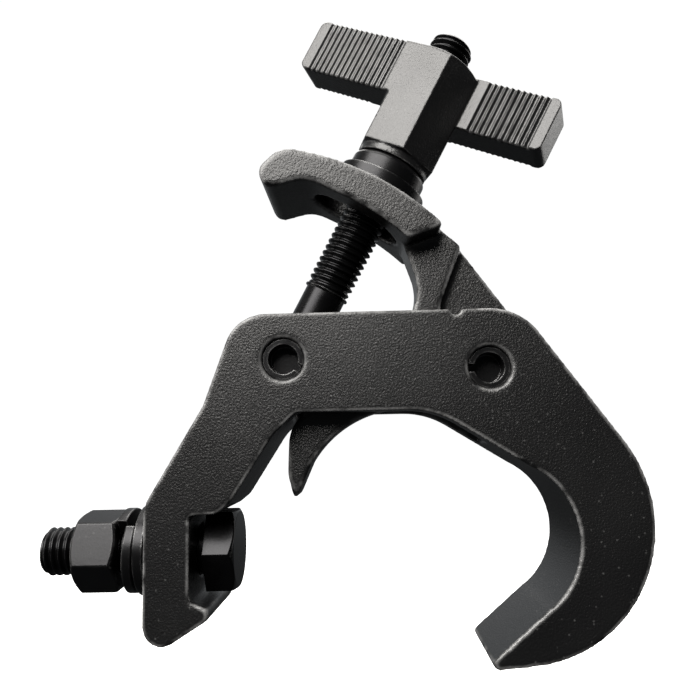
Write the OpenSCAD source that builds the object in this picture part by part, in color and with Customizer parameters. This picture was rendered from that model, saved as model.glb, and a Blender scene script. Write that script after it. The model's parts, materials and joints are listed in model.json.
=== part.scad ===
// Hook clamp for stage tube: a slotted hook, a lever with a jaw, an eye bolt and a T handle.
// X runs from the fixture bolt to the hook, Y across the clamp and Z up.
// The origin is the centre of the hook's root arc, halfway across the clamp.

/* [Hook] */
// Width of the hook across the clamp
body_w = 30; // [24:1:40]
// Radius of the arc at the root of the hook
seat_r = 19; // [17:0.25:19.5]
// Height of the bar's underside above the root arc's centre
bar_low = 30.7; // [29:0.1:31]
// Height of the bar between underside and top
bar_h = 24; // [22:0.5:29]
// Outer radius of the hook's back
back_r = 32; // [30:0.5:40]
// Length of the flat from the root arc to the tip
tip_flat = 19.6; // [15:0.2:24]
// Distance from the root arc's centre to the leg's outer face
leg_reach = 82.5; // [80:0.2:100]
// Thickness of the leg behind the fixture bolt
leg_t = 10.7; // [8:0.1:13]

/* [Pivots] */
// Height of the lever's pivot above the root arc's centre
pivot_rise = 40.5; // [39:0.1:43]
// Distance along X between the two pivots
pivot_spacing = 49.4; // [48:0.1:50]
// Height of the eye bolt's pivot above the lever's pivot
pivot_step = 3.1; // [0:0.1:4]
// Outer diameter of both rolled pins
pin_d = 10; // [8:0.5:12]
// Wall of the rolled pins
pin_wall = 1.4; // [1:0.1:1.8]
// Width of the slot along each rolled pin
pin_slot = 1.8; // [1:0.1:3]
// Depth of the inner pin below each rolled pin's ends
pin_core_depth = 5; // [3:0.5:8]
// Depth of each pin end below the cheek
pin_recess = 1.2; // [0.5:0.1:2]
// Chamfer round each pin hole
pin_chamfer = 0.5; // [0.3:0.1:0.8]

/* [Lever] */
// Thickness of the lever between the cheeks
lever_w = 13; // [10:0.5:16]
// Thickness of the thin web behind the neck
web_w = 6.4; // [4:0.2:9]
// Width of the lever's head across the clamp
head_w = 29.4; // [24:0.2:38]
// Wall of the lever round its pin
boss_wall = 5.5; // [4:0.5:6]
// Radius of the arc in the jaw
jaw_r = 28; // [22:0.5:28]
// Radius of the arm's top
arm_r = 69; // [60:1:90]
// Thickness of the arm
arm_t = 8; // [7:0.2:10]
// Length of the slot in the arm
arm_slot_len = 25; // [22:0.5:28]

/* [Eye bolt] */
// Diameter of the eye bolt
eyebolt_d = 12; // [9:1:13]
// Diameter of its plain shank
eyebolt_shank_d = 10.8; // [8:0.2:12]
// Length from the pivot to the thread
thread_from = 21; // [14:1:40]
// Length from the pivot to the free end
eyebolt_len = 98; // [93:1:118]
// Wall of the eye round its pin
eye_wall = 5.6; // [4:0.2:6]
// Angle of the eye bolt above the X axis
eyebolt_tilt = 62; // [60:0.5:64]

/* [Handle] */
// Width across the flats of the handle's barrel
barrel_af = 20; // [18:0.5:26]
// Length of the barrel and its round foot along the eye bolt
barrel_len = 31; // [24:1:36]
// Tip to tip length of the two wings
wing_span = 70; // [50:1:90]
// Height of each wing along the eye bolt
wing_h = 15; // [10:0.5:18]
// Turn of the wings about the eye bolt
wing_turn = -20; // [-90:5:90]
// Height of the collar under the barrel
collar_h = 5; // [3:0.2:6]
// Outer diameter of the collar
collar_d = 20.5; // [17:0.5:24]
// Outer diameter of the washer under the collar
hwasher_d = 24; // [20:0.5:26]
// Thickness of that washer
hwasher_t = 3; // [1.5:0.1:3.5]

/* [Fixture bolt] */
// Nominal diameter of the fixture bolt
fixbolt_d = 12; // [9:0.5:14]
// Width across the flats of its head
head_af = 19; // [16:0.5:21]
// Height of its head
head_h = 7.5; // [6:0.5:9]
// Length under its head
fixbolt_len = 41.5; // [40:0.5:60]
// Width across the flats of its nut
nut_af = 18; // [16:0.5:24]
// Height of its nut
nut_h = 10.8; // [8:0.2:12]
// Turn of the nut about the bolt
nut_turn = 17; // [0:1:60]
// Outer diameter of the flat washer
fwasher_d = 22; // [20:0.5:28]
// Thickness of the flat washer
fwasher_t = 2.5; // [1.5:0.1:3]
// Outer diameter of the spring washer
swasher_d = 21; // [17:0.5:24]
// Thickness of the spring washer's wire
swasher_t = 2.5; // [2:0.1:3.5]
// Gap between the ends of the spring washer
swasher_rise = 2.5; // [0.5:0.1:3]

/* [Clearances] */
// Gap on each side of the lever between the cheeks
slot_gap = 0.5; // [0.3:0.1:0.8]
// Gap round the eye and the lever's boss in the slot
end_gap = 0.5; // [0.3:0.1:1]
// Radial clearance of a moving part on its pin
run_gap = 0.08; // [0.04:0.01:0.1]
// Radial clearance of a rolled pin in the cheeks
pin_fit = 0.03; // [0.01:0.01:0.05]
// Gap on each side of the eye bolt in the arm's slot
arm_slot_gap = 0.75; // [0.5:0.05:1.2]
// Radial clearance of washers and nuts on their bolts
washer_gap = 0.4; // [0.2:0.05:0.6]
// Radial clearance of the screwed parts on their bolts
thread_gap = 0.1; // [0.05:0.01:0.15]
// Gap between the arm and the washer that bears on it
seat_gap = 0.5; // [0.2:0.05:0.8]
// Gap between the turning handle and its collar
turn_gap = 0.1; // [0.05:0.01:0.2]
// Gap between the bolt's hex and the notch that holds it
notch_gap = 0.15; // [0.1:0.05:0.4]
// Slack of the fixture bolt's head off its seat
head_slack = 2; // [0:0.1:3]
// Slack between the leg and the flat washer
leg_slack = 1.5; // [0.2:0.1:3]

/* [Hidden] */
$fn = 64;
BLACK = "#202124";
SATIN = "#3a3a3c";
STEEL = "#2a2b2e";

// ---- helpers ----
arc_step = 6;     // most degrees between the points of a round stretch
arc_chord = 1.8;  // and most millimetres
over = 1;         // how far a cut runs past a face
function arc_parts(r, turn) =
    max(1, ceil(abs(turn) / arc_step), ceil(r * abs(turn) * PI / 180 / arc_chord));
function unit(v) = v / norm(v);
function polar(c, r, a) = c + r * [cos(a), sin(a)];
// A corner b between a and c, rounded to radius r
function fillet(a, b, c, r) =
    r == 0 ? [b] :
    let (ua = unit(a - b), uc = unit(c - b), half = acos(ua * uc) / 2,
         o = b + unit(ua + uc) * r / sin(half),
         s = b + ua * r / tan(half) - o, e = b + uc * r / tan(half) - o,
         a0 = atan2(s[1], s[0]), swing = atan2(e[1], e[0]) - a0,
         turn = swing > 180 ? swing - 360 : swing < -180 ? swing + 360 : swing,
         n = arc_parts(r, turn))
    [for (i = [0:n]) polar(o, r, a0 + turn * i / n)];
// An outline from corners [x, z, radius]
function xz(p) = [p[0], p[1]];
function outline(c) = let (n = len(c))
    [for (i = [0:n - 1]) each fillet(xz(c[(i + n - 1) % n]), xz(c[i]), xz(c[(i + 1) % n]), c[i][2])];
// Where two lines meet, each given by its normal's angle and its distance from the origin
function meet(a, da, b, db) =
    [(da * sin(b) - db * sin(a)) / sin(b - a), (db * cos(a) - da * cos(b)) / sin(b - a)];
// The distance from the origin of the line with normal a that touches a circle
function touch(c, r, a) = c * [cos(a), sin(a)] + r;
function corner(p, r) = [p[0], p[1], r];

// Gives a flat shape in X and Z a thickness across the clamp
module across(w) { rotate([90, 0, 0]) translate([0, 0, -w / 2]) linear_extrude(w) children(); }
// A cylinder that lies across the clamp at p
module cross_cyl(p, r, w) {
    translate([p[0], 0, p[1]]) rotate([90, 0, 0]) cylinder(r = r, h = w, center = true);
}
// A ring from z = 0 up
module ring(ro, ri, h) {
    difference() {
        cylinder(r = ro, h = h);
        translate([0, 0, -over]) cylinder(r = ri, h = h + 2 * over);
    }
}

// A hexagon with its corners turned down at the low or the high end
module hex(af, h, low, high) {
    r = af / 2 / cos(30);
    end_r = af / 2 * 0.96;
    wide = r + over;
    fall = (wide - end_r) * tan(30);
    intersection() {
        cylinder(r = r, h = h, $fn = 6);
        rotate_extrude() polygon(concat([[0, 0]], low ? [[end_r, 0], [wide, fall]] : [[wide, 0]],
            high ? [[wide, h - fall], [end_r, h]] : [[wide, h]], [[0, h]]));
    }
}

// ---- places ----
lever_pivot = [0, pivot_rise];
bolt_pivot = [-pivot_spacing, pivot_rise + pivot_step];
bar_top = bar_low + bar_h;
boss_r = pin_d / 2 + boss_wall;
eye_r = pin_d / 2 + eye_wall;
slot_w = lever_w + 2 * slot_gap;

// Hook: the two flats run off the root arc, and the arc cuts a little deeper than they do
flat_a = 58;             // angle of the upper flat's normal
flat_b = -50;            // angle of the lower flat's normal
arc_bite = 0.1;
flat_d = seat_r - arc_bite;
back_a = 35.3;           // angle of the normal of the sloping back
under_a = -84.7;         // angle of the normal of the tip's underside
back_c = [4.3, 4.2];     // centre of the outer radius
back_d = touch(back_c, back_r, back_a);
under_d = touch(back_c, back_r, under_a);
tip_in = polar([0, 0], flat_d, flat_b) + tip_flat * [sin(flat_b), -cos(flat_b)];
tip_out = tip_in + [1.7, -1.5];
leg_x = -leg_reach;
leg_in = leg_x + leg_t;
fix_z = -2.5;            // height of the fixture bolt's axis
notch_hi = fix_z + head_af / 2 + notch_gap;
notch_lo = fix_z - head_af / 2 - notch_gap;

module hook_outline() {
    polygon(outline([
        [leg_x, notch_lo - 13.8, 4.5],
        [leg_x, notch_hi + 2.5, 7],
        [leg_x + 13.8, bar_top - 22, 5],
        [leg_x + 21.8, bar_top, 10],
        corner(meet(back_a, back_d, 90, bar_top), 14),
        corner(meet(back_a, back_d, under_a, under_d), back_r),
        corner(tip_out, 0.8),
        corner(tip_in, 0.8),
        corner(polar([0, 0], flat_d, flat_b), 0),
        corner(polar([0, 0], flat_d, flat_a), 0),
        corner(meet(flat_a, flat_d, 90, bar_low), 22),
        [leg_x + 35.9, bar_low, 0.5],
        [leg_x + 30.6, bar_low - 5, 10],
        [leg_x + 20.6, notch_hi + 2.9, 1],
        [leg_x + 17.3, notch_hi + 0.3, 2],
        [leg_in, notch_hi, 0.5],
        [leg_in, notch_lo, 0.5],
        [leg_in + 4.3, notch_lo - 2, 0.6],
        [leg_in + 4.9, notch_lo - 4.2, 1.5]
    ]));
}

// The slot between the cheeks, open at the top and under the jaw
slot_left = bolt_pivot[0] - eye_r - end_gap;
slot_right = lever_pivot[0] + boss_r + end_gap;
module hook_slot() {
    top = bar_top + over;
    mouth_left = bolt_pivot[0] + 1;
    mouth_low = bar_low - 10;
    across(slot_w) union() {
        polygon([
            [slot_left, bolt_pivot[1]], [slot_left, top],
            [slot_right, top], [slot_right, lever_pivot[1]],
        ]);
        polygon([
            [mouth_left, mouth_low], [mouth_left, top],
            [lever_pivot[0], top], [lever_pivot[0], mouth_low],
        ]);
    }
    cross_cyl(bolt_pivot, eye_r + end_gap, slot_w);
    cross_cyl(lever_pivot, boss_r + end_gap, slot_w);
}

module pin_hole(p) {
    cross_cyl(p, pin_d / 2 + pin_fit, body_w + 2 * over);
    for (side = [-1, 1])
        translate([p[0], side * body_w / 2, p[1]]) rotate([90 * side, 0, 0])
            translate([0, 0, -over])
            cylinder(r1 = pin_d / 2 + pin_chamfer + over, r2 = pin_d / 2, h = pin_chamfer + over);
}

module hook_body() {
    mark_r = 1.4;
    color(BLACK) difference() {
        across(body_w) hook_outline();
        cross_cyl([0, 0], seat_r, body_w + 2 * over);
        hook_slot();
        pin_hole(bolt_pivot);
        pin_hole(lever_pivot);
        cross_cyl([lever_pivot[0] - 7.7, bar_top], mark_r, body_w + 2 * over);
        translate([leg_x - over, 0, fix_z]) rotate([0, 90, 0])
            cylinder(r = fixbolt_d / 2 + washer_gap, h = leg_t + 2 * over);
    }
}

// ---- lever ----
arm_c = bolt_pivot + [-11.3, -14.6];     // centre of the arm's two arcs
arm_a = 60;                              // middle of the arc on top, and half its angle
arm_half = 16.2;
arm_under_a = 55.5;                      // the same underneath
arm_under_half = 8.5;
arm_slot_a = 61;                         // direction of the middle of the arm's slot
jaw_c = [-20, 31.6 - jaw_r];             // centre of the jaw's arc
jaw_half = 27.45;

function arc_corner(c, r, a, half) = corner(polar(c, r / cos(half), a), r);

module head_outline() {
    e = bolt_pivot;
    polygon(outline([
        [e[0] + 40.1, e[1] + 32.1, 0.8],
        arc_corner(arm_c, arm_r, arm_a, arm_half),
        [e[0] - 0.1, e[1] + 53.4, 7],
        [e[0] - 6.5, e[1] + 47.6, 3.5],
        [e[0] - 3.8, e[1] + 42.7, 3],
        [e[0] + 6, e[1] + 45.2, 9],
        arc_corner(arm_c, arm_r - arm_t, arm_under_a, arm_under_half),
        [e[0] + 31.1, e[1] + 29.1, 0.8]
    ]));
}

module plate_outline() {
    p = lever_pivot;
    polygon(outline([
        [-20.5, p[1] + 36.5, 0],
        [-13.5, p[1] + 40, 3],
        [-4.5, p[1] + 31.8, 1.5],
        [-10.8, p[1] + 15.5, 6],
        [-8, p[1] + 9, 2],
        [0, p[1] + boss_r - 1, 0],
        [0, p[1] - boss_r + 0.5, 0],
        [-8, 31.6, 4],
        arc_corner(jaw_c, jaw_r, 90 + jaw_half, jaw_half),
        [-43.4, 18.6, 0.5],
        [-47.7, 8.9, 0.7],
        [-49.4, 16, 6],
        [-48.9, 26.5, 8],
        [-45, 31.5, 6],
        [-33, 38, 12],
        [-21, 47, 12],
        [-15.2, 61.5, 14]
    ]));
}

module web_outline() {
    p = lever_pivot;
    polygon(outline([
        [-12, p[1] + 36, 0],
        [-4.9, p[1] + 32.4, 1],
        [7.4, p[1] + 15, 6],
        [boss_r - 0.2, p[1] + 4, 3],
        [boss_r - 1.5, p[1], 0],
        [-8, p[1], 0],
        [-13, p[1] + 20, 0]
    ]));
}

// The slot lies square to the arm where the eye bolt crosses it
module arm_slot() {
    w = eyebolt_d + 2 * arm_slot_gap;
    cut = 3 * arm_t;
    reach = arm_slot_len / 2 - w / 2;
    translate([arm_c[0], 0, arm_c[1]])
    rotate([0, 90 - arm_slot_a, 0])
    translate([0, 0, arm_r - arm_t / 2]) {
        translate([-reach, -w / 2, -cut / 2]) cube([2 * reach, w, cut]);
        for (end = [-reach, reach]) translate([end, 0, -cut / 2]) cylinder(r = w / 2, h = cut);
    }
}

module lever() {
    color(BLACK) difference() {
        union() {
            across(head_w) head_outline();
            across(lever_w) plate_outline();
            across(web_w) web_outline();
            cross_cyl(lever_pivot, boss_r, lever_w);
        }
        arm_slot();
        cross_cyl(lever_pivot, pin_d / 2 + run_gap, lever_w + 2 * over);
    }
}

// ---- pins ----
// A rolled pin whose slot faces the angle a
module rolled_pin(p, a) {
    length = body_w - 2 * pin_recess;
    core = length - 2 * pin_core_depth;
    color(STEEL) translate([p[0], 0, p[1]]) rotate([90, 0, 0]) {
        difference() {
            translate([0, 0, -length / 2]) ring(pin_d / 2, pin_d / 2 - pin_wall, length);
            rotate([0, 0, a]) translate([0, -pin_slot / 2, -length / 2 - over])
                cube([pin_d, pin_slot, length + 2 * over]);
        }
        translate([0, 0, -core / 2]) cylinder(r = pin_d / 2 - pin_wall / 2, h = core);
    }
}
module eye_bolt_pin() { rolled_pin(bolt_pivot, -30); }
module lever_pin() { rolled_pin(lever_pivot, 180); }

// ---- eye bolt and what turns or slides on it ----
module on_eye_bolt(s) {
    translate([bolt_pivot[0], 0, bolt_pivot[1]]) rotate([0, 90 - eyebolt_tilt, 0])
        translate([0, 0, s]) children();
}
bolt_chamfer = 1;

module eye_bolt() {
    r = eyebolt_d / 2;
    color(STEEL) difference() {
        union() {
            cross_cyl(bolt_pivot, eye_r, lever_w);
            on_eye_bolt(0) cylinder(r = eyebolt_shank_d / 2, h = thread_from + over);
            on_eye_bolt(thread_from) cylinder(r = r, h = eyebolt_len - bolt_chamfer - thread_from);
            on_eye_bolt(eyebolt_len - bolt_chamfer)
                cylinder(r1 = r, r2 = r - bolt_chamfer, h = bolt_chamfer);
        }
        cross_cyl(bolt_pivot, pin_d / 2 + run_gap, lever_w + 2 * over);
    }
}

// The washer bears on the arm's arc, square to the eye bolt
washer_s = touch(arm_c - bolt_pivot, arm_r, eyebolt_tilt) + seat_gap;
collar_s = washer_s + hwasher_t;
barrel_s = collar_s + collar_h + turn_gap;
bolt_bore = eyebolt_d / 2 + thread_gap;

module handle_washer() {
    color(STEEL) on_eye_bolt(washer_s) ring(hwasher_d / 2, eyebolt_d / 2 + washer_gap, hwasher_t);
}

module handle_collar() {
    r = collar_d / 2;
    shoulder = 1.2;
    color(STEEL) on_eye_bolt(collar_s) difference() {
        union() {
            cylinder(r = r, h = collar_h - shoulder);
            translate([0, 0, collar_h - shoulder]) cylinder(r1 = r, r2 = r - shoulder, h = shoulder);
        }
        translate([0, 0, -over]) cylinder(r = eyebolt_d / 2 + washer_gap, h = collar_h + 2 * over);
    }
}

module t_handle() {
    foot_h = 2;
    end_r = 2;
    half = wing_span / 2;
    color(SATIN) on_eye_bolt(barrel_s) rotate([0, 0, wing_turn]) difference() {
        union() {
            cylinder(r = barrel_af / 2 - 0.3, h = foot_h + over);
            translate([0, 0, foot_h]) hex(barrel_af, barrel_len - foot_h, false, true);
            for (side = [0, 180]) rotate([0, 0, side]) translate([0, barrel_af / 2, barrel_len - wing_h])
                rotate([90, 0, 0]) linear_extrude(barrel_af / 2)
                polygon(outline([[0, 0, 0], [half, 0, end_r], [half, wing_h, end_r], [0, wing_h, 0]]));
        }
        translate([0, 0, -over]) cylinder(r = bolt_bore, h = barrel_len + 2 * over);
    }
}

// ---- fixture bolt and what is on it ----
// z runs out along the bolt from x
module on_fix_bolt(x) { translate([x, 0, fix_z]) rotate([0, -90, 0]) children(); }
head_x = leg_in + head_slack;
fwasher_x = leg_x - leg_slack;
swasher_x = fwasher_x - fwasher_t;
nut_x = swasher_x - swasher_t - swasher_rise;

module fixture_bolt() {
    r = fixbolt_d / 2;
    color(STEEL) union() {
        on_fix_bolt(head_x + head_h) rotate([0, 0, 30]) hex(head_af, head_h, true, false);
        on_fix_bolt(head_x + over) cylinder(r = r, h = fixbolt_len - bolt_chamfer + over);
        on_fix_bolt(head_x - fixbolt_len + bolt_chamfer)
            cylinder(r1 = r, r2 = r - bolt_chamfer, h = bolt_chamfer);
    }
}

module flat_washer() {
    color(STEEL) on_fix_bolt(fwasher_x) ring(fwasher_d / 2, fixbolt_d / 2 + washer_gap, fwasher_t);
}

// A square wire bent once round the bolt, left-handed, with its ends apart
module spring_washer() {
    ri = fixbolt_d / 2 + washer_gap;
    ro = swasher_d / 2;
    n = 45;
    sweep = 352;
    start = -49;
    points = [for (i = [0:n]) let (a = start - sweep * i / n, rise = swasher_rise * i / n)
        for (q = [[ri, 0], [ro, 0], [ro, swasher_t], [ri, swasher_t]])
            [q[0] * cos(a), q[0] * sin(a), q[1] + rise]];
    sides = [for (i = [0:n - 1]) for (k = [0:3]) let (j = (k + 1) % 4)
        [4 * i + 4 + k, 4 * i + 4 + j, 4 * i + j, 4 * i + k]];
    color(STEEL) on_fix_bolt(swasher_x)
        polyhedron(points, concat([[0, 1, 2, 3]], sides, [[4 * n + 3, 4 * n + 2, 4 * n + 1, 4 * n]]));
}

module fixture_nut() {
    color(STEEL) on_fix_bolt(nut_x) rotate([0, 0, nut_turn]) difference() {
        hex(nut_af, nut_h, true, true);
        translate([0, 0, -over]) cylinder(r = fixbolt_d / 2 + thread_gap, h = nut_h + 2 * over);
    }
}

hook_body();
lever();
eye_bolt();
eye_bolt_pin();
lever_pin();
t_handle();
handle_collar();
handle_washer();
fixture_bolt();
flat_washer();
spring_washer();
fixture_nut();
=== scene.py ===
import json
import math

import bmesh
import bpy
from mathutils import Euler, Matrix, Vector


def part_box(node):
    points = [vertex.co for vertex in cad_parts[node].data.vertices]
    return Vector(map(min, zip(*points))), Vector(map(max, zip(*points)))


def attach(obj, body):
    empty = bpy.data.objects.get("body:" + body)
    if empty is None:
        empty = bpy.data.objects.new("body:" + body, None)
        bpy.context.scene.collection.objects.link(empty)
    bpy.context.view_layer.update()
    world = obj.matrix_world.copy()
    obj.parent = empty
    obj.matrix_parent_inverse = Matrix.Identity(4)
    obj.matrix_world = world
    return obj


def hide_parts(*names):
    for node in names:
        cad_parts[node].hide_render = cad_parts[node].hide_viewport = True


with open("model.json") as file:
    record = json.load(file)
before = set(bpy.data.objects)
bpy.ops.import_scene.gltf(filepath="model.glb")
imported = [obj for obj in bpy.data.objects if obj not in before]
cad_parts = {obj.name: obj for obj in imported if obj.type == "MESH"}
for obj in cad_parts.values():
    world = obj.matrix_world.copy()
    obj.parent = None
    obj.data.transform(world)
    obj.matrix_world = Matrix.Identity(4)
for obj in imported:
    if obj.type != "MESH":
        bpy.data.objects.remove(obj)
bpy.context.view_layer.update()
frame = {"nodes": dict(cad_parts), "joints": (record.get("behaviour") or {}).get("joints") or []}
JOINTS = {joint["name"]: joint for joint in frame["joints"]}

bl_info = {
    "name": "Pipe clamp",
    "version": (1, 0, 0),
    "blender": (4, 5, 0),
    "location": "View3D > Sidebar > Pipe clamp",
    "description": "Builds the finished pieces of a hook clamp on its fixed frame",
    "category": "Object",
}

MM = 0.001
MERGE = 1e-6                    # corners closer than this are one corner
FLAT_ANGLE = math.radians(0.5)  # neighbouring faces flatter than this become one face
CREASE = math.radians(32)       # an edge sharper than this is rounded or stays sharp

WING_TURN = -20.0               # degrees about the eye bolt
WING_HEIGHT = 15.0 * MM
GROOVE_MARGIN = 1.0 * MM        # how far a groove runs past the wing

EYE_THREAD_FROM = 21.0 * MM     # from the eye's centre along the shank
EYE_SHANK_RADIUS = 5.4 * MM
FIXTURE_SHANK_RADIUS = 5.95 * MM
THREAD_OVERLAP = 0.6 * MM       # how far the plain shank runs into the threaded rod
THREAD_INSET = 0.15 * MM        # how far the rod's start lies inside the shank
THREAD_CHAMFER = 1.1 * MM
THREAD_AROUND = 40              # mesh columns round the thread
THREAD_FLANK = 1.35             # how steep a flank is, as a share of the pitch
THREAD_FLAT = 0.16              # how wide the root's flat is
THREAD_RUN_IN = 1.6             # turns until the thread has its full height

WASHER_WIRE = 2.5 * MM          # the spring washer's thickness
WASHER_INNER = 6.4 * MM
WASHER_OUTER = 10.45 * MM
WASHER_ROUNDING = 0.45 * MM
WASHER_START = -49              # degrees from the top of the bolt to the first end
WASHER_SWEEP = -352             # degrees the wire runs, left-handed
WASHER_STEPS = 96

BEVEL_SEGMENTS = 2
GRAIN_CELLS = 0.7               # cells of painted glints (sparkle) for each grain
GRAIN_DOT = 2.2                 # how fast a painted glint fades from its centre
CREASE_START = 0.015            # how much a corner bends before it gets the painted edge highlight
CREASE_GAIN = 9.0
RIDGE_GAIN = 40.0
BREAK_START = 0.36              # the share of noise that leaves an edge without painted highlight
BREAK_GAIN = 4.5

AIM = Vector((-0.025, 0.0, 0.035))          # what the lights point at
LIGHT_TINT = (1.0, 0.975, 0.94)             # slightly warm lamps
SHADE_TINT = (0.93, 0.97, 1.0)              # slightly cool surroundings
BACKDROP_STRENGTH = 1.03
GLOW_FROM_Y, GLOW_GAIN_Y = 0.2, 2.0         # the glow lies behind the clamp
GLOW_FROM_Z, GLOW_GAIN_Z = -0.15, 3.0       # and above the floor
FLOOR_LEVEL = -0.16
FLOOR_HALF = 6.0
FLOOR_COLOUR = (0.9, 0.9, 0.89)
CAMERA_AT = Vector((-29.4, -185.0, 24.6)) * MM
CAMERA_TURN = (96.95247, 1.21323, 1.42872)  # degrees about X, Y and Z
CAMERA_LENS = 36.854                        # on the sensor below
CAMERA_SENSOR = 36.0
CAMERA_CLIP = (0.005, 50.0)


# ---------------------------------------------------------------- places on the frame

def eye_bolt_place():
    """The eye bolt's own axes: its eye at the origin, its shank along +Z."""
    ux, _, uz = (-Vector(JOINTS["washer_slide"]["axis"])).normalized()
    px, py, pz = JOINTS["bolt_swing"]["pos_m"]
    return Matrix(((uz, 0, ux, px), (0, 1, 0, py), (-ux, 0, uz, pz), (0, 0, 0, 1)))


def fixture_bolt_place():
    """The fixture bolt's own axes: its centre line is Z, and grows towards its free end."""
    rise = JOINTS["nut_turn"]["pos_m"][2]
    return Matrix(((0, 0, -1, 0), (0, 1, 0, 0), (1, 0, 0, rise), (0, 0, 0, 1)))


def span_along(node, place):
    """Lowest and highest corner of a CAD node in the axes of place."""
    inverse = place.inverted()
    points = [inverse @ v.co for v in frame["nodes"][node].data.vertices]
    return (Vector(min(p[i] for p in points) for i in range(3)),
            Vector(max(p[i] for p in points) for i in range(3)))


# ---------------------------------------------------------------- meshes

def show(name, mesh):
    piece = bpy.data.objects.new(name, mesh)
    bpy.context.scene.collection.objects.link(piece)
    return piece


def merged_mesh(node, name):
    """A copy of a CAD node with its corners joined and its flat areas as whole faces."""
    mesh = bpy.data.meshes.new(name)
    work = bmesh.new()
    work.from_mesh(frame["nodes"][node].data)
    bmesh.ops.remove_doubles(work, verts=work.verts[:], dist=MERGE)
    bmesh.ops.dissolve_limit(work, angle_limit=FLAT_ANGLE, verts=work.verts[:],
                             edges=work.edges[:], use_dissolve_boundaries=False)
    work.to_mesh(mesh)
    work.free()
    for stale in ("custom_normal", "sharp_edge"):
        if stale in mesh.attributes:
            mesh.attributes.remove(mesh.attributes[stale])
    return mesh


def settle(piece):
    """Turns what the piece's modifiers make into its own plain mesh."""
    graph = bpy.context.evaluated_depsgraph_get()
    made = bpy.data.meshes.new_from_object(piece.evaluated_get(graph), depsgraph=graph)
    old = piece.data
    piece.modifiers.clear()
    piece.data = made
    made.name = piece.name
    bpy.data.meshes.remove(old)


def round_edges(piece, width):
    """Rounds the piece's creases, as a casting or a tumbled part has them."""
    bevel = piece.modifiers.new("round_edges", "BEVEL")
    bevel.width = width
    bevel.segments = BEVEL_SEGMENTS
    bevel.limit_method = "ANGLE"
    bevel.angle_limit = CREASE
    bevel.use_clamp_overlap = False
    bevel.loop_slide = False
    bevel.miter_outer = "MITER_ARC"
    settle(piece)


def cast_skin(piece, grid, passes):
    """One even skin over the piece, smoothed until its edges are round like a casting's."""
    skin = piece.modifiers.new("cast_skin", "REMESH")
    skin.mode = "VOXEL"
    skin.voxel_size = grid
    skin.use_smooth_shade = True
    relax = piece.modifiers.new("relax", "SMOOTH")
    relax.factor = 0.5
    relax.iterations = passes
    settle(piece)


def shade(piece):
    """Smooth faces with flat areas kept flat."""
    piece.data.shade_smooth()
    piece.data.set_sharp_from_angle(angle=CREASE)
    weigh = piece.modifiers.new("weigh_normals", "WEIGHTED_NORMAL")
    weigh.keep_sharp = True
    settle(piece)


def cut_off(mesh, place, at):
    """Cuts a mesh at a height along place's Z, keeps what lies below and closes it."""
    work = bmesh.new()
    work.from_mesh(mesh)
    normal = place.to_3x3() @ Vector((0, 0, 1))
    bmesh.ops.bisect_plane(work, geom=work.verts[:] + work.edges[:] + work.faces[:],
                           plane_co=place @ Vector((0, 0, at)), plane_no=normal, clear_outer=True)
    rim = [e for e in work.edges if e.is_boundary]
    bmesh.ops.holes_fill(work, edges=rim, sides=0)
    work.to_mesh(mesh)
    work.free()


def join(piece, other):
    """Adds the other object's mesh to the piece and removes the other object."""
    work = bmesh.new()
    work.from_mesh(piece.data)
    work.from_mesh(other.data)
    work.to_mesh(piece.data)
    work.free()
    mesh = other.data
    bpy.data.objects.remove(other)
    bpy.data.meshes.remove(mesh)


def hand_over(piece, node, body, material):
    """Dresses a finished piece, and puts it in its CAD node's place."""
    piece.data.materials.clear()
    piece.data.materials.append(material)
    for face in piece.data.polygons:
        face.material_index = 0
    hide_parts(node)
    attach(piece, body)


# ---------------------------------------------------------------- node wiring

class Wiring:
    """Adds nodes to a tree and joins them."""

    def __init__(self, tree):
        self.tree = tree

    def add(self, kind, **settings):
        node = self.tree.nodes.new(kind)
        for key, value in settings.items():
            setattr(node, key, value)
        return node

    def give(self, socket, value):
        if isinstance(value, bpy.types.NodeSocket):
            self.tree.links.new(value, socket)
        else:
            socket.default_value = value

    def math(self, operation, *values, clamp=False):
        node = self.add("ShaderNodeMath", operation=operation, use_clamp=clamp)
        for socket, value in zip(node.inputs, values):
            self.give(socket, value)
        return node.outputs[0]

    def fill(self, node, **values):
        for key, value in values.items():
            self.give(node.inputs[key.replace("_", " ")], value)
        return node


def new_tree(name, kind, sockets):
    tree = bpy.data.node_groups.new(name, kind)
    for label, in_out, socket_type, default in sockets:
        socket = tree.interface.new_socket(label, in_out=in_out, socket_type=socket_type)
        if default is not None:
            socket.default_value = default
    return tree


def set_inputs(modifier, values):
    """Sets a Geometry Nodes modifier's inputs, each by its socket's identifier."""
    for item in modifier.node_group.interface.items_tree:
        if item.item_type == "SOCKET" and item.in_out == "INPUT" and item.name in values:
            modifier[item.identifier] = values[item.name]


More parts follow.
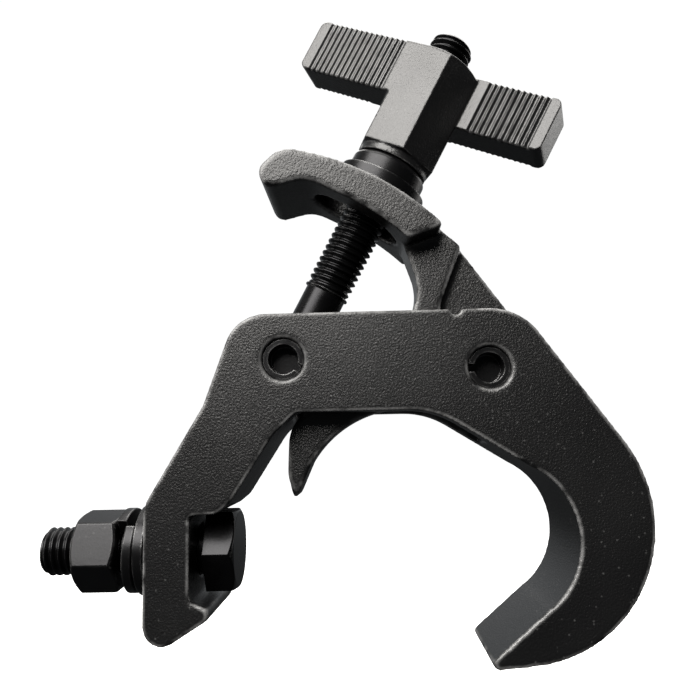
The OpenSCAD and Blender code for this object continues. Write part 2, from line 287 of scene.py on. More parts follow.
def rolled_thread_tree():
    """A closed rod with a rolled right-hand thread along +Z from the origin."""
    tree = new_tree("rolled_thread", "GeometryNodeTree", [
        ("Geometry", "INPUT", "NodeSocketGeometry", None),
        ("Length", "INPUT", "NodeSocketFloat", 0.05),
        ("Pitch", "INPUT", "NodeSocketFloat", 0.00175),
        ("Crest Radius", "INPUT", "NodeSocketFloat", 0.006),
        ("Root Radius", "INPUT", "NodeSocketFloat", 0.005),
        ("Shank Radius", "INPUT", "NodeSocketFloat", 0.0054),
        ("Chamfer", "INPUT", "NodeSocketFloat", 0.001),
        ("Rows", "INPUT", "NodeSocketInt", 100),
        ("Around", "INPUT", "NodeSocketInt", 36),
        ("Material", "INPUT", "NodeSocketMaterial", None),
        ("Geometry", "OUTPUT", "NodeSocketGeometry", None),
    ])
    w = Wiring(tree)
    given = w.add("NodeGroupInput").outputs
    grid = w.fill(w.add("GeometryNodeMeshGrid"), Size_X=1.0, Size_Y=1.0,
                  Vertices_X=w.math("ADD", given["Around"], 1.0),
                  Vertices_Y=w.math("ADD", given["Rows"], 1.0))
    at = w.add("ShaderNodeSeparateXYZ")
    w.give(at.inputs[0], w.add("GeometryNodeInputPosition").outputs[0])
    turn = w.math("ADD", at.outputs["X"], 0.5)
    row = w.math("MULTIPLY", w.math("ADD", at.outputs["Y"], 0.5), given["Rows"])
    share = w.math("DIVIDE", w.math("SUBTRACT", row, 1.0),
                   w.math("SUBTRACT", given["Rows"], 2.0), clamp=True)
    height = w.math("MULTIPLY", share, given["Length"])
    phase = w.math("FRACT", w.math("SUBTRACT", w.math("DIVIDE", height, given["Pitch"]), turn))
    slope = w.math("ABSOLUTE", w.math("SUBTRACT", w.math("MULTIPLY", phase, 2.0), 1.0))
    flank = w.math("SUBTRACT", w.math("MULTIPLY", slope, THREAD_FLANK), THREAD_FLAT, clamp=True)
    depth = w.math("SUBTRACT", given["Crest Radius"], given["Root Radius"])
    thread = w.math("ADD", given["Root Radius"], w.math("MULTIPLY", flank, depth))
    start = w.math("DIVIDE", height, w.math("MULTIPLY", given["Pitch"], THREAD_RUN_IN),
                   clamp=True)
    low = w.math("MULTIPLY", given["Shank Radius"], w.math("SUBTRACT", 1.0, start))
    radius = w.math("ADD", low, w.math("MULTIPLY", thread, start))
    to_tip = w.math("SUBTRACT", given["Length"], height)
    tip = w.math("ADD", w.math("SUBTRACT", given["Crest Radius"], given["Chamfer"]), to_tip)
    radius = w.math("MINIMUM", radius, tip)
    first = w.math("GREATER_THAN", row, 0.5)
    last = w.math("LESS_THAN", row, w.math("SUBTRACT", given["Rows"], 0.5))
    radius = w.math("MULTIPLY", w.math("MULTIPLY", radius, first), last)
    angle = w.math("MULTIPLY", turn, math.tau)
    point = w.add("ShaderNodeCombineXYZ")
    w.give(point.inputs["X"], w.math("MULTIPLY", radius, w.math("COSINE", angle)))
    w.give(point.inputs["Y"], w.math("MULTIPLY", radius, w.math("SINE", angle)))
    w.give(point.inputs["Z"], height)
    moved = w.fill(w.add("GeometryNodeSetPosition"), Geometry=grid.outputs["Mesh"],
                   Position=point.outputs[0])
    closed = w.fill(w.add("GeometryNodeMergeByDistance"), Geometry=moved.outputs[0],
                    Distance=MERGE)
    real = w.fill(w.add("GeometryNodeRealizeInstances"), Geometry=closed.outputs[0])
    dressed = w.fill(w.add("GeometryNodeSetMaterial"), Geometry=real.outputs[0],
                     Material=given["Material"])
    w.give(w.add("NodeGroupOutput").inputs["Geometry"], dressed.outputs[0])
    return tree


def grip_groove_tree():
    """Cuts a row of grooves into the body, which leaves ribs between them."""
    tree = new_tree("grip_grooves", "GeometryNodeTree", [
        ("Geometry", "INPUT", "NodeSocketGeometry", None),
        ("Pitch", "INPUT", "NodeSocketFloat", 0.0016),
        ("Groove Radius", "INPUT", "NodeSocketFloat", 0.0004),
        ("Grooves", "INPUT", "NodeSocketInt", 10),
        ("First", "INPUT", "NodeSocketFloat", 0.0),
        ("Face", "INPUT", "NodeSocketFloat", 0.0),
        ("Low", "INPUT", "NodeSocketFloat", 0.0),
        ("Height", "INPUT", "NodeSocketFloat", 0.02),
        ("Material", "INPUT", "NodeSocketMaterial", None),
        ("Geometry", "OUTPUT", "NodeSocketGeometry", None),
    ])
    w = Wiring(tree)
    given = w.add("NodeGroupInput").outputs
    cutter = w.fill(w.add("GeometryNodeMeshCylinder"), Vertices=12, Side_Segments=1,
                    Radius=given["Groove Radius"], Depth=given["Height"])
    start = w.add("ShaderNodeCombineXYZ")
    w.give(start.inputs["X"], given["First"])
    w.give(start.inputs["Y"], given["Face"])
    w.give(start.inputs["Z"], w.math("ADD", given["Low"], w.math("MULTIPLY", given["Height"], 0.5)))
    step = w.add("ShaderNodeCombineXYZ")
    w.give(step.inputs["X"], given["Pitch"])
    row = w.fill(w.add("GeometryNodeMeshLine"), Count=given["Grooves"],
                 Start_Location=start.outputs[0], Offset=step.outputs[0])
    cutters = w.fill(w.add("GeometryNodeInstanceOnPoints"), Points=row.outputs[0],
                     Instance=cutter.outputs["Mesh"])
    whole = w.fill(w.add("GeometryNodeRealizeInstances"), Geometry=cutters.outputs[0])
    cut = w.add("GeometryNodeMeshBoolean", operation="DIFFERENCE", solver="EXACT")
    w.give(cut.inputs["Mesh 1"], given["Geometry"])
    w.give(cut.inputs["Mesh 2"], whole.outputs[0])
    real = w.fill(w.add("GeometryNodeRealizeInstances"), Geometry=cut.outputs["Mesh"])
    dressed = w.fill(w.add("GeometryNodeSetMaterial"), Geometry=real.outputs[0],
                     Material=given["Material"])
    w.give(w.add("NodeGroupOutput").inputs["Geometry"], dressed.outputs[0])
    return tree


def split_ring_tree():
    """A left-hand split ring: a rounded wire carried along most of one turn of a helix."""
    tree = new_tree("split_ring", "GeometryNodeTree", [
        ("Geometry", "INPUT", "NodeSocketGeometry", None),
        ("Inner Radius", "INPUT", "NodeSocketFloat", 0.0064),
        ("Outer Radius", "INPUT", "NodeSocketFloat", 0.0105),
        ("Thickness", "INPUT", "NodeSocketFloat", 0.0025),
        ("Rise", "INPUT", "NodeSocketFloat", 0.0025),
        ("Start", "INPUT", "NodeSocketFloat", 0.0),
        ("Sweep", "INPUT", "NodeSocketFloat", -6.1),
        ("Rounding", "INPUT", "NodeSocketFloat", 0.0004),
        ("Steps", "INPUT", "NodeSocketInt", 96),
        ("Material", "INPUT", "NodeSocketMaterial", None),
        ("Geometry", "OUTPUT", "NodeSocketGeometry", None),
    ])
    w = Wiring(tree)
    given = w.add("NodeGroupInput").outputs
    line = w.fill(w.add("GeometryNodeMeshLine"), Count=given["Steps"])
    index = w.add("GeometryNodeInputIndex").outputs[0]
    share = w.math("DIVIDE", index, w.math("SUBTRACT", given["Steps"], 1.0))
    angle = w.math("ADD", given["Start"], w.math("MULTIPLY", given["Sweep"], share))
    middle = w.math("MULTIPLY", w.math("ADD", given["Inner Radius"], given["Outer Radius"]), 0.5)
    point = w.add("ShaderNodeCombineXYZ")
    w.give(point.inputs["X"], w.math("MULTIPLY", middle, w.math("COSINE", angle)))
    w.give(point.inputs["Y"], w.math("MULTIPLY", middle, w.math("SINE", angle)))
    w.give(point.inputs["Z"], w.math("ADD", w.math("MULTIPLY", given["Thickness"], 0.5),
                                     w.math("MULTIPLY", given["Rise"], share)))
    placed = w.fill(w.add("GeometryNodeSetPosition"), Geometry=line.outputs[0],
                    Position=point.outputs[0])
    path = w.fill(w.add("GeometryNodeMeshToCurve"), Mesh=placed.outputs[0])
    upright = w.add("GeometryNodeSetCurveNormal", mode="Z_UP")
    w.give(upright.inputs["Curve"], path.outputs[0])
    section = w.fill(w.add("GeometryNodeCurvePrimitiveQuadrilateral"),
                     Width=w.math("SUBTRACT", given["Outer Radius"], given["Inner Radius"]),
                     Height=given["Thickness"])
    soft = w.add("GeometryNodeFilletCurve", mode="POLY")
    w.fill(soft, Curve=section.outputs[0], Radius=given["Rounding"], Count=3)
    swept = w.fill(w.add("GeometryNodeCurveToMesh"), Curve=upright.outputs[0],
                   Profile_Curve=soft.outputs[0], Fill_Caps=True)
    real = w.fill(w.add("GeometryNodeRealizeInstances"), Geometry=swept.outputs[0])
    dressed = w.fill(w.add("GeometryNodeSetMaterial"), Geometry=real.outputs[0],
                     Material=given["Material"])
    w.give(w.add("NodeGroupOutput").inputs["Geometry"], dressed.outputs[0])
    return tree


# ---------------------------------------------------------------- finishes

def coat_grain_and_glints_group():
    """Fine grain of a sprayed or blackened surface: height, painted glints (sparkle) as light dots
    for the colour, and slow patches.
    """
    tree = new_tree("coat_grain_and_glints", "ShaderNodeTree", [
        ("Vector", "INPUT", "NodeSocketVector", None),
        ("Grain Size", "INPUT", "NodeSocketFloat", 0.0004),
        ("Patch Size", "INPUT", "NodeSocketFloat", 0.012),
        ("Sparkle Share", "INPUT", "NodeSocketFloat", 0.1),
        ("Height", "OUTPUT", "NodeSocketFloat", None),
        ("Sparkle", "OUTPUT", "NodeSocketFloat", None),
        ("Patches", "OUTPUT", "NodeSocketFloat", None),
    ])
    w = Wiring(tree)
    given = w.add("NodeGroupInput").outputs
    fine_scale = w.math("DIVIDE", 1.0, given["Grain Size"])
    grain = w.fill(w.add("ShaderNodeTexNoise"), Vector=given["Vector"], Scale=fine_scale,
                   Detail=2.0, Roughness=0.6)
    cells = w.fill(w.add("ShaderNodeTexVoronoi"), Vector=given["Vector"],
                   Scale=w.math("MULTIPLY", fine_scale, GRAIN_CELLS))
    dot = w.math("SUBTRACT", 1.0, w.math("MULTIPLY", cells.outputs["Distance"], GRAIN_DOT),
                 clamp=True)
    chosen = w.add("ShaderNodeSeparateColor")
    w.give(chosen.inputs[0], cells.outputs["Color"])
    keep = w.math("LESS_THAN", chosen.outputs[0], given["Sparkle Share"])
    patches = w.fill(w.add("ShaderNodeTexNoise"), Vector=given["Vector"],
                     Scale=w.math("DIVIDE", 1.0, given["Patch Size"]), Detail=3.0)
    out = w.add("NodeGroupOutput").inputs
    w.give(out["Height"], grain.outputs[0])
    w.give(out["Sparkle"], w.math("MULTIPLY", dot, keep))
    w.give(out["Patches"], patches.outputs[0])
    return tree


def painted_edge_highlight_group():
    """Painted highlight along edges: a broken mask along them, which stands in for the bright rims
    that light makes on rounded edges.
    """
    tree = new_tree("painted_edge_highlight", "ShaderNodeTree", [
        ("Vector", "INPUT", "NodeSocketVector", None),
        ("Reach", "INPUT", "NodeSocketFloat", 0.001),
        ("Break Size", "INPUT", "NodeSocketFloat", 0.003),
        ("Amount", "INPUT", "NodeSocketFloat", 1.0),
        ("Ridge", "INPUT", "NodeSocketFloat", 0.06),
        ("Mask", "OUTPUT", "NodeSocketFloat", None),
    ])
    w = Wiring(tree)
    given = w.add("NodeGroupInput").outputs
    soft = w.add("ShaderNodeBevel", samples=4)
    w.give(soft.inputs["Radius"], given["Reach"])
    facing = w.add("ShaderNodeVectorMath", operation="DOT_PRODUCT")
    w.give(facing.inputs[0], soft.outputs[0])
    surface = w.add("ShaderNodeNewGeometry")
    w.give(facing.inputs[1], surface.outputs["Normal"])
    away = w.math("SUBTRACT", 1.0, facing.outputs["Value"])
    creased = w.math("MULTIPLY", w.math("SUBTRACT", away, CREASE_START), CREASE_GAIN,
                     clamp=True)
    point = w.math("SUBTRACT", surface.outputs["Pointiness"], 0.5)
    ridge = w.math("MULTIPLY", w.math("SUBTRACT", point, given["Ridge"]), RIDGE_GAIN,
                   clamp=True)
    edge = w.math("MAXIMUM", creased, ridge)
    broken = w.fill(w.add("ShaderNodeTexNoise"), Vector=given["Vector"],
                    Scale=w.math("DIVIDE", 1.0, given["Break Size"]), Detail=4.0)
    bits = w.math("MULTIPLY", w.math("SUBTRACT", broken.outputs[0], BREAK_START), BREAK_GAIN,
                  clamp=True)
    out = w.add("NodeGroupOutput").inputs
    w.give(out["Mask"], w.math("MULTIPLY", w.math("MULTIPLY", edge, bits), given["Amount"]))
    return tree


def finish_material(name, look):
    """One finish: its own values placed round the shared grain and edge groups."""
    material = bpy.data.materials.new(name)
    material.use_nodes = True
    tree = material.node_tree
    tree.nodes.clear()
    w = Wiring(tree)
    place = w.add("ShaderNodeTexCoord").outputs["Object"]
    grain = w.add("ShaderNodeGroup", node_tree=bpy.data.node_groups["coat_grain_and_glints"])
    w.fill(grain, Vector=place, Grain_Size=look["grain"], Patch_Size=look["patch"],
           Sparkle_Share=look["sparkle_share"])
    edge = w.add("ShaderNodeGroup", node_tree=bpy.data.node_groups["painted_edge_highlight"])
    w.fill(edge, Vector=place, Reach=look["edge_reach"], Break_Size=look["edge_break"],
           Amount=look["edge_amount"], Ridge=look["ridge"])
    base = w.add("ShaderNodeMix", data_type="RGBA", blend_type="MIX")
    w.give(base.inputs["Factor"], grain.outputs["Patches"])
    w.give(base.inputs["A"], (*look["dark"], 1.0))
    w.give(base.inputs["B"], (*look["light"], 1.0))
    # painted highlight: a light grey mixed into the colour along the edges
    painted_highlight = w.add("ShaderNodeMix", data_type="RGBA", blend_type="MIX")
    w.give(painted_highlight.inputs["Factor"], edge.outputs["Mask"])
    w.give(painted_highlight.inputs["A"], base.outputs["Result"])
    w.give(painted_highlight.inputs["B"], (*look["painted_highlight"], 1.0))
    # painted glints: light grey dots mixed into the colour
    lit = w.add("ShaderNodeMix", data_type="RGBA", blend_type="MIX")
    w.give(lit.inputs["Factor"], w.math("MULTIPLY", grain.outputs["Sparkle"], look["sparkle"]))
    w.give(lit.inputs["A"], painted_highlight.outputs["Result"])
    w.give(lit.inputs["B"], (*look["sparkle_tone"], 1.0))
    rough = w.math("ADD", look["rough"] - look["rough_swing"] / 2,
                   w.math("MULTIPLY", grain.outputs["Patches"], look["rough_swing"]))
    rough = w.math("SUBTRACT", rough, w.math("MULTIPLY", edge.outputs["Mask"], look["edge_gloss"]),
                   clamp=True)
    bump = w.add("ShaderNodeBump")
    w.fill(bump, Strength=look["bump"], Distance=look["bump_height"],
           Height=grain.outputs["Height"])
    shader = w.add("ShaderNodeBsdfPrincipled")
    w.fill(shader, Base_Color=lit.outputs["Result"], Roughness=rough, Metallic=look["metal"],
           Normal=bump.outputs[0])
    shader.inputs["Specular IOR Level"].default_value = look["specular"]
    shader.inputs["Coat Weight"].default_value = look["coat"]
    shader.inputs["Coat Roughness"].default_value = look["coat_rough"]
    out = w.add("ShaderNodeOutputMaterial")
    w.give(out.inputs["Surface"], shader.outputs[0])
    return material


# In each finish the edge tone is a painted highlight along the rounded edges and thread crests.
FINISHES = {
    # the sparkle tone paints glints into the colour as light grey dots
    "powder_coat": dict(
        dark=(0.0014, 0.0014, 0.0016), light=(0.0042, 0.0042, 0.0044),
        painted_highlight=(0.26, 0.26, 0.26), ridge=0.013,
        sparkle_tone=(0.10, 0.10, 0.10), sparkle=0.6, sparkle_share=0.05, grain=0.0005,
        patch=0.02, edge_reach=0.0008, edge_break=0.004, edge_amount=0.5, edge_gloss=0.10,
        rough=0.34, rough_swing=0.10, bump=1.0, bump_height=0.00011, metal=0.0,
        specular=0.55, coat=0.0, coat_rough=0.3),
    "satin_handle_coat": dict(
        dark=(0.002, 0.002, 0.0022), light=(0.010, 0.010, 0.0103),
        painted_highlight=(0.20, 0.20, 0.20), ridge=0.022,
        sparkle_tone=(0.10, 0.10, 0.10), sparkle=0.25, sparkle_share=0.06, grain=0.0005,
        patch=0.015, edge_reach=0.0005, edge_break=0.004, edge_amount=0.5, edge_gloss=0.05,
        rough=0.33, rough_swing=0.16, bump=0.9, bump_height=0.00010, metal=0.0,
        specular=0.55, coat=0.0, coat_rough=0.3),
    "blackened_steel": dict(
        dark=(0.010, 0.010, 0.0108), light=(0.018, 0.018, 0.0188),
        painted_highlight=(0.20, 0.20, 0.20), ridge=0.25,
        sparkle_tone=(0.10, 0.10, 0.10), sparkle=0.15, sparkle_share=0.05, grain=0.0006,
        patch=0.006, edge_reach=0.0007, edge_break=0.003, edge_amount=0.9, edge_gloss=0.05,
        rough=0.32, rough_swing=0.14, bump=0.3, bump_height=0.00005, metal=0.8,
        specular=0.5, coat=0.0, coat_rough=0.2),
    "blackened_thread": dict(
        dark=(0.010, 0.010, 0.0108), light=(0.018, 0.018, 0.0188),
        painted_highlight=(0.14, 0.14, 0.14), ridge=0.25,
        sparkle_tone=(0.08, 0.08, 0.08), sparkle=0.1, sparkle_share=0.04, grain=0.0006,
        patch=0.004, edge_reach=0.0002, edge_break=0.002, edge_amount=0.6, edge_gloss=0.05,
        rough=0.26, rough_swing=0.12, bump=0.2, bump_height=0.00004, metal=0.9,
        specular=0.5, coat=0.0, coat_rough=0.2),
}


def finish(name):
    """The finish of that name, made once."""
    if "coat_grain_and_glints" not in bpy.data.node_groups:
        coat_grain_and_glints_group()
        painted_edge_highlight_group()
    return bpy.data.materials.get(name) or finish_material(name, FINISHES[name])


# ---------------------------------------------------------------- settings

class CastingSettings(bpy.types.PropertyGroup):
    skin_grid: bpy.props.FloatProperty(
        name="Skin grid", description="Size of the faces of the hook's and lever's skin",
        default=0.62 * MM, unit="LENGTH")
    edge_passes: bpy.props.IntProperty(
        name="Edge passes", description="Smoothing passes that round the edges",
        default=3, min=0)


class HandleSettings(bpy.types.PropertyGroup):
    skin_grid: bpy.props.FloatProperty(
        name="Skin grid", description="Size of the faces of the handle's skin",
        default=0.29 * MM, unit="LENGTH")
    edge_passes: bpy.props.IntProperty(
        name="Edge passes", description="Smoothing passes that round the edges",
        default=2, min=0)
    rib_pitch: bpy.props.FloatProperty(
        name="Rib pitch", description="Distance from one grip rib to the next",
        default=1.62 * MM, unit="LENGTH")
    groove_radius: bpy.props.FloatProperty(
        name="Groove radius", description="Radius of the round grooves between the ribs",
        default=0.62 * MM, unit="LENGTH")
    long_row_ribs: bpy.props.IntProperty(
        name="Long row", description="Ribs on each wing's proud face", default=14, min=1)
    short_row_ribs: bpy.props.IntProperty(
        name="Short row", description="Ribs on each wing's set-back face", default=10, min=1)
    long_row_end: bpy.props.FloatProperty(
        name="Long row's last rib", description="From the handle's middle to the outermost rib",
        default=30.4 * MM, unit="LENGTH")
    short_row_end: bpy.props.FloatProperty(
        name="Short row's last rib", description="From the handle's middle to the outermost rib",
        default=30.7 * MM, unit="LENGTH")


class HardwareSettings(bpy.types.PropertyGroup):
    edge_radius: bpy.props.FloatProperty(
        name="Edge radius", description="Rounding of bolts', nuts' and washers' edges",
        default=0.3 * MM, unit="LENGTH")
    pitch: bpy.props.FloatProperty(
        name="Thread pitch", description="Travel of one turn of the thread",
        default=1.75 * MM, unit="LENGTH")
    crest_radius: bpy.props.FloatProperty(
        name="Crest radius", description="Outer radius of the thread",
        default=5.95 * MM, unit="LENGTH")
    root_radius: bpy.props.FloatProperty(
        name="Root radius", description="Radius at the bottom of the thread",
        default=4.95 * MM, unit="LENGTH")
    rows_per_turn: bpy.props.IntProperty(
        name="Rows per turn", description="Mesh rows along one turn of the thread",
        default=8, min=4)


class StageSettings(bpy.types.PropertyGroup):
    backdrop: bpy.props.FloatVectorProperty(
        name="Backdrop", description="Colour of the plain surroundings", subtype="COLOR",
        default=(0.99, 0.99, 0.99), size=3)
    key_strength: bpy.props.FloatProperty(
        name="Key light", description="Brightness of the large soft light in front",
        default=12.5, min=0)
    back_glow: bpy.props.FloatProperty(
        name="Back glow", description="Brightness of the surroundings behind the clamp",
        default=0.35, min=0)
    fill_strength: bpy.props.FloatProperty(
        name="Surround", description="Brightness of the surroundings as a light",
        default=0.05, min=0)


# ---------------------------------------------------------------- operators

class CLAMP_OT_castings(bpy.types.Operator):
    """Makes the hook and the lever, cast pieces with rounded edges under powder coat"""
    bl_idname = "clamp.castings"
    bl_label = "Hook and lever"

    def execute(self, context):
        values = context.scene.clamp_castings
        for node, body, name in (("hook_body", "hook", "cast_hook"),
                                 ("lever", "lever", "cast_lever")):
            piece = show(name, merged_mesh(node, name))
            cast_skin(piece, values.skin_grid, values.edge_passes)
            hand_over(piece, node, body, finish("powder_coat"))
        return {"FINISHED"}


class CLAMP_OT_handle(bpy.types.Operator):
    """Makes the T handle with its ribbed wings"""
    bl_idname = "clamp.handle"
    bl_label = "T handle"

    def execute(self, context):
        values = context.scene.clamp_handle
        place = eye_bolt_place() @ Matrix.Rotation(math.radians(WING_TURN), 4, "Z")
        low, high = span_along("t_handle", place)
        piece = show("t_handle_ribbed", merged_mesh("t_handle", "t_handle_ribbed"))
        piece.data.transform(place.inverted())
        tree = grip_groove_tree()
        pitch = values.rib_pitch
        long_start = values.long_row_end - (values.long_row_ribs - 0.5) * pitch
        short_start = values.short_row_end - (values.short_row_ribs - 0.5) * pitch
        rows = (
            (-values.long_row_end - 0.5 * pitch, low.y, values.long_row_ribs),
            (long_start, high.y, values.long_row_ribs),
            (short_start, 0.0, values.short_row_ribs),
            (-values.short_row_end - 0.5 * pitch, 0.0, values.short_row_ribs),
        )
        for first, face, ribs in rows:
            cut = piece.modifiers.new("grip_grooves", "NODES")
            cut.node_group = tree
            set_inputs(cut, {
                "Pitch": pitch, "Groove Radius": values.groove_radius, "Grooves": ribs + 1,
                "First": first, "Face": face, "Low": high.z - WING_HEIGHT - GROOVE_MARGIN,
                "Height": WING_HEIGHT + 2 * GROOVE_MARGIN,
                "Material": finish("satin_handle_coat")})
            settle(piece)
        cast_skin(piece, values.skin_grid, values.edge_passes)
        piece.data.transform(place)
        hand_over(piece, "t_handle", "handle", finish("satin_handle_coat"))
        return {"FINISHED"}


class CLAMP_OT_bolts(bpy.types.Operator):
    """Makes the eye bolt and the fixture bolt with their rolled threads"""
    bl_idname = "clamp.bolts"
    bl_label = "Bolts"

    def execute(self, context):
        values = context.scene.clamp_hardware
        tree = rolled_thread_tree()
        for node, body, name, place, start, shank in (
                ("eye_bolt", "swing_bolt", "eye_bolt_threaded", eye_bolt_place(),
                 EYE_THREAD_FROM, EYE_SHANK_RADIUS),
                ("fixture_bolt", "hook", "fixture_bolt_threaded", fixture_bolt_place(),
                 -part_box("flat_washer")[1].x, FIXTURE_SHANK_RADIUS)):
            tip = span_along(node, place)[1].z
            mesh = merged_mesh(node, name)
            cut_off(mesh, place, start + THREAD_OVERLAP)
            piece = show(name, mesh)
            round_edges(piece, values.edge_radius)
            length = tip - start
            rod = show(name + "_rod", bpy.data.meshes.new(name + "_rod"))
            thread = rod.modifiers.new("rolled_thread", "NODES")
            thread.node_group = tree
            set_inputs(thread, {
                "Length": length, "Pitch": values.pitch, "Crest Radius": values.crest_radius,
                "Root Radius": values.root_radius, "Shank Radius": shank - THREAD_INSET,
                "Chamfer": THREAD_CHAMFER, "Around": THREAD_AROUND,
                "Rows": int(length / values.pitch * values.rows_per_turn) + 2,
                "Material": finish("blackened_thread")})
            settle(rod)
            rod.data.transform(place @ Matrix.Translation((0, 0, start)))
            shade(piece)
            rod.data.shade_smooth()
            join(piece, rod)
            hand_over(piece, node, body, finish("blackened_thread"))
        return {"FINISHED"}


class CLAMP_OT_small_parts(bpy.types.Operator):
    """Makes the pins, washers, collar and nut with their rounded edges"""
    bl_idname = "clamp.small_parts"
    bl_label = "Pins, washers and nut"

    def execute(self, context):
        values = context.scene.clamp_hardware
        for node, body, name, share in (
                ("eye_bolt_pin", "hook", "eye_bolt_roll_pin", 0.6),
                ("lever_pin", "hook", "lever_roll_pin", 0.6),
                ("handle_collar", "thrust_washers", "handle_thrust_collar", 1.6),
                ("handle_washer", "thrust_washers", "handle_flat_washer", 1.0),
                ("flat_washer", "bolt_washers", "fixture_flat_washer", 1.0),
                ("fixture_nut", "nut", "fixture_hex_nut", 1.4)):
            piece = show(name, merged_mesh(node, name))
            round_edges(piece, values.edge_radius * share)
            shade(piece)
            hand_over(piece, node, body, finish("blackened_steel"))
        return {"FINISHED"}


class CLAMP_OT_spring_washer(bpy.types.Operator):
    """Makes the split spring washer behind the nut"""
    bl_idname = "clamp.spring_washer"
    bl_label = "Spring washer"

    def execute(self, context):
        place = fixture_bolt_place()
        low, high = span_along("spring_washer", place)
        ring = show("fixture_spring_washer", bpy.data.meshes.new("fixture_spring_washer"))
        coil = ring.modifiers.new("split_ring", "NODES")
        coil.node_group = split_ring_tree()
        set_inputs(coil, {
            "Inner Radius": WASHER_INNER, "Outer Radius": WASHER_OUTER,
            "Thickness": WASHER_WIRE, "Rise": high.z - low.z - WASHER_WIRE,
            "Start": math.radians(WASHER_START), "Sweep": math.radians(WASHER_SWEEP),
            "Rounding": WASHER_ROUNDING, "Steps": WASHER_STEPS,
            "Material": finish("blackened_steel")})
        settle(ring)
        ring.data.transform(place @ Matrix.Translation((0, 0, low.z)))
        work = bmesh.new()
        work.from_mesh(ring.data)
        bmesh.ops.recalc_face_normals(work, faces=work.faces[:])
        work.to_mesh(ring.data)
        work.free()
        shade(ring)
        hand_over(ring, "spring_washer", "bolt_washers", finish("blackened_steel"))
        return {"FINISHED"}


class CLAMP_OT_stage(bpy.types.Operator):
    """Sets the plain floor, the soft lights and the camera"""
    bl_idname = "clamp.stage"
    bl_label = "Stage, lights and camera"

    def execute(self, context):
        values = context.scene.clamp_stage
        scene = context.scene
        scene.view_settings.view_transform = "Standard"
        make_floor(values)
        make_surround(values)
        for name, towards, distance, width, height, strength in soft_lights(values):
            make_light(name, Vector(towards), distance, width, height, strength)
        make_camera(scene)
        return {"FINISHED"}


# ---------------------------------------------------------------- stage

def soft_lights(values):
    """Each soft light: its name, direction, distance, width, height and brightness."""
    key = values.key_strength
    return (
        ("key_softbox", (-0.40, -0.72, 0.70), 1.0, 0.95, 0.75, key),
        ("top_softbox", (0.05, 0.15, 1.0), 0.9, 0.9, 0.7, key * 0.45),
        ("left_strip", (-1.0, 0.05, 0.10), 0.9, 0.35, 0.9, key * 0.22),
        ("right_strip", (0.85, 0.50, 0.35), 0.9, 0.35, 0.8, key * 0.22),
        ("back_softbox", (0.1, 0.8, 0.9), 1.0, 0.8, 0.6, key * 0.2),
    )


def make_light(name, towards, distance, width, height, strength):
    """An area light of a given surface brightness, which the camera doesn't see."""
    data = bpy.data.lights.new(name, "AREA")
    data.shape = "RECTANGLE"
    data.size = width
    data.size_y = height
    data.energy = strength * math.pi * width * height
    data.color = LIGHT_TINT
    light = bpy.data.objects.new(name, data)
    bpy.context.scene.collection.objects.link(light)
    towards.normalize()
    light.location = AIM + towards * distance
    light.rotation_mode = "QUATERNION"
    light.rotation_quaternion = towards.to_track_quat("Z", "Y")
    light.visible_camera = False


def make_floor(values):
    mesh = bpy.data.meshes.new("floor")
    half = FLOOR_HALF
    mesh.from_pydata([(-half, -half, FLOOR_LEVEL), (half, -half, FLOOR_LEVEL),
                      (half, half, FLOOR_LEVEL), (-half, half, FLOOR_LEVEL)],
                     [], [(0, 1, 2, 3)])
    floor = show("floor", mesh)
    material = bpy.data.materials.new("floor_paper")
    material.use_nodes = True
    shader = material.node_tree.nodes["Principled BSDF"]
    shader.inputs["Base Color"].default_value = (*FLOOR_COLOUR, 1)
    shader.inputs["Roughness"].default_value = 0.9
    shader.inputs["Emission Color"].default_value = (*values.backdrop, 1)
    shader.inputs["Emission Strength"].default_value = 1.0
    mesh.materials.append(material)
    floor.visible_glossy = False
    floor.visible_diffuse = False


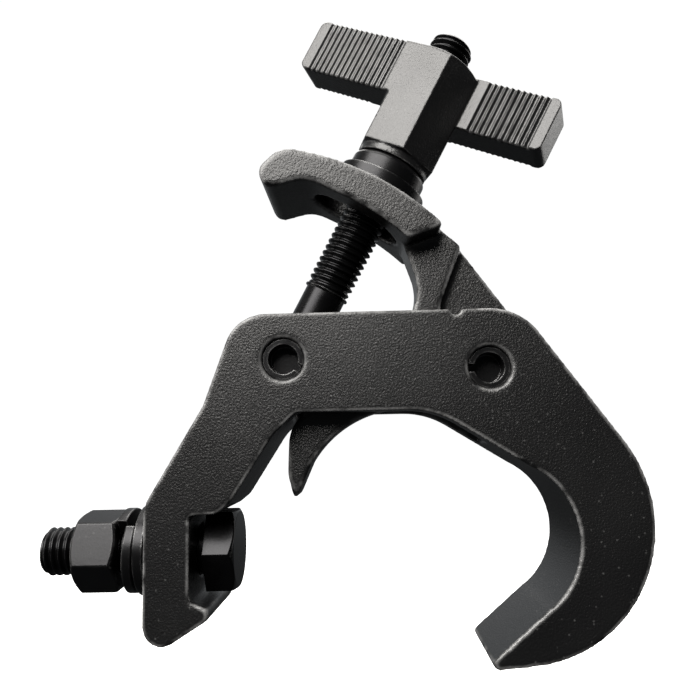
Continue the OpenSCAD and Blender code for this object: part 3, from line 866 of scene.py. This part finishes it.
def make_surround(values):
    """Plain near-white surroundings, which light the object only a little."""
    world = bpy.data.worlds.new("surround")
    world.use_nodes = True
    tree = world.node_tree
    tree.nodes.clear()
    w = Wiring(tree)
    seen = w.add("ShaderNodeBackground")
    w.fill(seen, Color=(*values.backdrop, 1.0), Strength=BACKDROP_STRENGTH)
    lights = w.add("ShaderNodeBackground")
    way = w.add("ShaderNodeSeparateXYZ")
    w.give(way.inputs[0], w.add("ShaderNodeTexCoord").outputs["Generated"])
    behind = w.math("MULTIPLY", w.math("SUBTRACT", way.outputs["Y"], GLOW_FROM_Y), GLOW_GAIN_Y,
                    clamp=True)
    above = w.math("MULTIPLY", w.math("SUBTRACT", way.outputs["Z"], GLOW_FROM_Z), GLOW_GAIN_Z,
                   clamp=True)
    glow = w.math("MULTIPLY", w.math("MULTIPLY", behind, above), values.back_glow)
    w.fill(lights, Color=(*SHADE_TINT, 1.0),
           Strength=w.math("ADD", glow, values.fill_strength))
    mix = w.add("ShaderNodeMixShader")
    w.give(mix.inputs[0], w.add("ShaderNodeLightPath").outputs["Is Camera Ray"])
    w.give(mix.inputs[1], lights.outputs[0])
    w.give(mix.inputs[2], seen.outputs[0])
    w.give(w.add("ShaderNodeOutputWorld").inputs[0], mix.outputs[0])
    bpy.context.scene.world = world


def make_camera(scene):
    data = bpy.data.cameras.new("camera")
    data.sensor_width = CAMERA_SENSOR
    data.lens = CAMERA_LENS
    data.clip_start, data.clip_end = CAMERA_CLIP
    camera = bpy.data.objects.new("camera", data)
    scene.collection.objects.link(camera)
    camera.location = CAMERA_AT
    camera.rotation_euler = Euler([math.radians(a) for a in CAMERA_TURN], "XYZ")
    scene.camera = camera


# ---------------------------------------------------------------- panel

OPERATORS = (CLAMP_OT_castings, CLAMP_OT_handle, CLAMP_OT_bolts, CLAMP_OT_small_parts,
             CLAMP_OT_spring_washer, CLAMP_OT_stage)
SETTINGS = (("clamp_castings", CastingSettings), ("clamp_handle", HandleSettings),
            ("clamp_hardware", HardwareSettings), ("clamp_stage", StageSettings))


class CLAMP_PT_sidebar(bpy.types.Panel):
    """Lists the clamp's pieces and their sizes"""
    bl_idname = "CLAMP_PT_sidebar"
    bl_label = "Pipe clamp"
    bl_space_type = "VIEW_3D"
    bl_region_type = "UI"
    bl_category = "Pipe clamp"

    def draw(self, context):
        for operator in OPERATORS:
            self.layout.operator(operator.bl_idname)
        for name, group in SETTINGS:
            box = self.layout.box()
            for key in group.__annotations__:
                box.prop(getattr(context.scene, name), key)


def register():
    for name, group in SETTINGS:
        bpy.utils.register_class(group)
        setattr(bpy.types.Scene, name, bpy.props.PointerProperty(type=group))
    for item in (*OPERATORS, CLAMP_PT_sidebar):
        bpy.utils.register_class(item)


def unregister():
    for item in reversed((*OPERATORS, CLAMP_PT_sidebar)):
        bpy.utils.unregister_class(item)
    for name, group in reversed(SETTINGS):
        delattr(bpy.types.Scene, name)
        bpy.utils.unregister_class(group)


def main():
    register()
    bpy.ops.clamp.castings()
    bpy.ops.clamp.handle()
    bpy.ops.clamp.bolts()
    bpy.ops.clamp.small_parts()
    bpy.ops.clamp.spring_washer()
    bpy.ops.clamp.stage()


if __name__ == "__main__":
    main()
